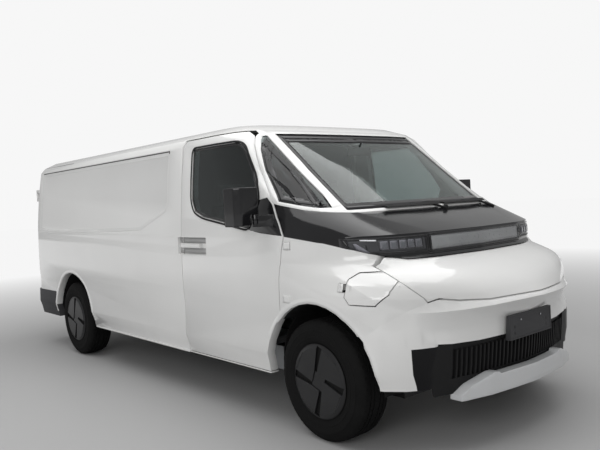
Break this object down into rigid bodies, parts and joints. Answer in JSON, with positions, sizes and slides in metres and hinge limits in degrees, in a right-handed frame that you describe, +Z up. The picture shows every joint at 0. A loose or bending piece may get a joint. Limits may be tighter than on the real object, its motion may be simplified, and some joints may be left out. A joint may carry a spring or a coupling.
{
  "type": "panel van",
  "caption": "Long low-roof electric panel van with hinged front and rear doors, bonnet, charge flap, folding mirrors, steering and turning wheels.",
  "frame": {"origin": "on the ground below the centre of the vehicle's bounding box", "axes": "+X forward, +Y to the vehicle's left, +Z up"},
  "size_m": [5.4904, 2.4, 1.9836],
  "materials": {
    "white_paint": "gloss pearl",
    "black_panel": "gloss",
    "dark_glass": "tinted",
    "screen_glass": "clear, lightly tinted",
    "lamp_lens": "clear over dark",
    "red_lens": "clear red",
    "black_plastic": "grained",
    "grey_plastic": "grained",
    "silver_plastic": "satin silver",
    "tyre_rubber": "moulded",
    "wheel_black": "gloss black",
    "chassis_steel": "black coated",
    "forged_steel": "machined and oiled",
    "liner_felt": "rough",
    "cabin_plastic": "soft grain",
    "seat_cloth": "woven",
    "battery_case": "cast and coated"
  },
  "bodies": {
    "body": {"roof_panel": "white_paint", "side_panel_right": "white_paint", "side_panel_left": "white_paint", "tail_lamps": "red_lens", "windscreen": "screen_glass", "quarter_glass": "dark_glass", "cab_frame": "white_paint", "nose_band": "black_panel", "light_bar": "grey_plastic", "headlamps": "lamp_lens", "wings": "white_paint", "front_bumper": "white_paint", "lower_grille": "black_plastic", "front_lip": "silver_plastic", "plate_bracket": "grey_plastic", "rear_bumper": "grey_plastic", "floor_frame": "chassis_steel", "front_arch_liners": "liner_felt", "rear_arch_liners": "liner_felt", "wipers": "black_plastic", "bulkhead": "cabin_plastic", "dashboard": "cabin_plastic", "seats": "seat_cloth", "steering_wheel": "cabin_plastic", "front_subframe": "chassis_steel", "rear_axle": "chassis_steel", "battery_pack": "battery_case"},
    "bonnet_lid": {"bonnet": "white_paint"},
    "charge_lid": {"charge_flap": "white_paint"},
    "front_door_body_right": {"front_door_right": "white_paint", "mirror_base_right": "black_panel", "door_glass_right": "dark_glass"},
    "mirror_body_right": {"mirror_head_right": "black_panel"},
    "rear_door_body_right": {"rear_door_right": "white_paint"},
    "knuckle_body_right": {"knuckle_right": "forged_steel"},
    "front_wheel_body_right": {"front_tyre_right": "tyre_rubber", "front_wheel_right": "wheel_black"},
    "rear_wheel_body_right": {"rear_tyre_right": "tyre_rubber", "rear_wheel_right": "wheel_black"},
    "front_door_body_left": {"front_door_left": "white_paint", "mirror_base_left": "black_panel", "door_glass_left": "dark_glass"},
    "mirror_body_left": {"mirror_head_left": "black_panel"},
    "rear_door_body_left": {"rear_door_left": "white_paint"},
    "knuckle_body_left": {"knuckle_left": "forged_steel"},
    "front_wheel_body_left": {"front_tyre_left": "tyre_rubber", "front_wheel_left": "wheel_black"},
    "rear_wheel_body_left": {"rear_tyre_left": "tyre_rubber", "rear_wheel_left": "wheel_black"}
  },
  "joints": [
    {"name": "steer_right", "type": "hinge", "parent": "body", "child": "knuckle_body_right", "pos_m": [1.865, -0.69, 0.356], "axis": [0, 0, 1], "range_deg": [-32, 32]},
    {"name": "steer_left", "type": "hinge", "parent": "body", "child": "knuckle_body_left", "pos_m": [1.865, 0.69, 0.356], "axis": [0, 0, 1], "range_deg": [-32, 32]},
    {"name": "front_wheel_spin_right", "type": "hinge", "parent": "knuckle_body_right", "child": "front_wheel_body_right", "pos_m": [1.865, -0.852, 0.356], "axis": [0, 1, 0], "continuous": true},
    {"name": "rear_wheel_spin_right", "type": "hinge", "parent": "body", "child": "rear_wheel_body_right", "pos_m": [-1.735, -0.852, 0.356], "axis": [0, 1, 0], "continuous": true},
    {"name": "front_door_right_swing", "type": "hinge", "parent": "body", "child": "front_door_body_right", "pos_m": [1.66, -0.968, 0.98], "axis": [0, 0, 1], "range_deg": [0, 65]},
    {"name": "mirror_right_fold", "type": "hinge", "parent": "front_door_body_right", "child": "mirror_body_right", "pos_m": [1.45, -1.05, 1.38], "axis": [0, 0, -1], "range_deg": [0, 50]},
    {"name": "rear_door_right_swing", "type": "hinge", "parent": "body", "child": "rear_door_body_right", "pos_m": [-2.71108, -0.925, 1.161], "axis": [0, 0, 1], "range_deg": [0, 180]},
    {"name": "front_wheel_spin_left", "type": "hinge", "parent": "knuckle_body_left", "child": "front_wheel_body_left", "pos_m": [1.865, 0.852, 0.356], "axis": [0, 1, 0], "continuous": true},
    {"name": "rear_wheel_spin_left", "type": "hinge", "parent": "body", "child": "rear_wheel_body_left", "pos_m": [-1.735, 0.852, 0.356], "axis": [0, 1, 0], "continuous": true},
    {"name": "front_door_left_swing", "type": "hinge", "parent": "body", "child": "front_door_body_left", "pos_m": [1.66, 0.968, 0.98], "axis": [0, 0, -1], "range_deg": [0, 65]},
    {"name": "mirror_left_fold", "type": "hinge", "parent": "front_door_body_left", "child": "mirror_body_left", "pos_m": [1.45, 1.05, 1.38], "axis": [0, 0, 1], "range_deg": [0, 50]},
    {"name": "rear_door_left_swing", "type": "hinge", "parent": "body", "child": "rear_door_body_left", "pos_m": [-2.71108, 0.925, 1.161], "axis": [0, 0, -1], "range_deg": [0, 180]},
    {"name": "bonnet_lift", "type": "hinge", "parent": "body", "child": "bonnet_lid", "pos_m": [2.4, 0, 0.929], "axis": [0, -1, 0], "range_deg": [0, 50]},
    {"name": "charge_flap_swing", "type": "hinge", "parent": "body", "child": "charge_lid", "pos_m": [2.081, -0.966, 0.915], "axis": [0, 0, -1], "range_deg": [0, 95]}
  ],
  "couplings": [
    {"joint": "steer_left", "follows": "steer_right", "ratio": 1}
  ]
}
